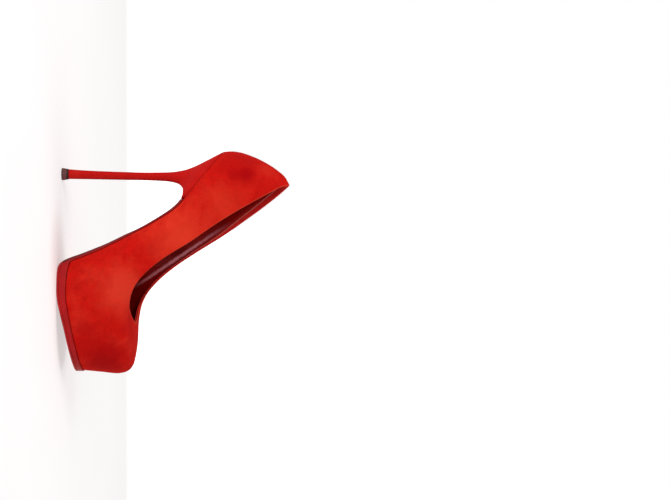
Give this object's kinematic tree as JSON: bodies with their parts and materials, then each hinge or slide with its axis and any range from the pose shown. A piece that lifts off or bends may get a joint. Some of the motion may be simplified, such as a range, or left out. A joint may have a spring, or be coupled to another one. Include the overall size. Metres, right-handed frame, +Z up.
{
  "type": "high heel pump",
  "caption": "Right-foot stiletto pump in suede with a hidden platform under the ball, a smooth sole band and a slim covered heel on a dark tip.",
  "frame": {"origin": "on the floor, under the middle of the shoe's bounding box", "axes": "+X towards the toe, +Y towards the inner (medial) side of the foot, +Z up"},
  "size_m": [0.2054, 0.0822, 0.211],
  "materials": {
    "suede": "matte brushed red suede, short nap with lighter and darker strokes",
    "suede_edge": "matte red suede strip with a skived edge",
    "lining": "smooth burgundy lining leather, soft gloss",
    "sock": "glossy burgundy leather insole cover",
    "stiffener": "resin-stiffened woven fabric",
    "foam": "soft foam backing",
    "steel": "plain bright steel",
    "rivet": "plain brass",
    "board": "pressed fibre board",
    "cork": "light pressed cork",
    "band_leather": "smooth red leather, satin",
    "sole_leather": "smooth red sole leather, satin",
    "heel_suede": "matte red suede",
    "heel_plastic": "moulded plastic",
    "tip_rubber": "dark brown hard rubber"
  },
  "bodies": {
    "root": {"suede_upper": "suede", "topline_facing": "suede_edge", "quarter_lining": "lining", "vamp_lining": "lining", "heel_counter": "stiffener", "toe_puff": "stiffener", "sock_lining": "sock", "heel_pad": "foam", "forefoot_pad": "foam", "heel_nail_1": "steel", "heel_nail_2": "steel", "heel_nail_3": "steel", "heel_nail_4": "steel", "heel_screw": "steel", "shank_rivet_1": "rivet", "shank_rivet_2": "rivet", "shank_board": "board", "insole_board": "board", "steel_shank": "steel", "platform_block": "cork", "sole_band": "band_leather", "midsole_board": "board", "outsole": "sole_leather", "heel_cover": "heel_suede", "heel_core": "heel_plastic", "heel_rod": "steel", "top_piece": "tip_rubber", "top_piece_pin": "steel"}
  },
  "joints": []
}
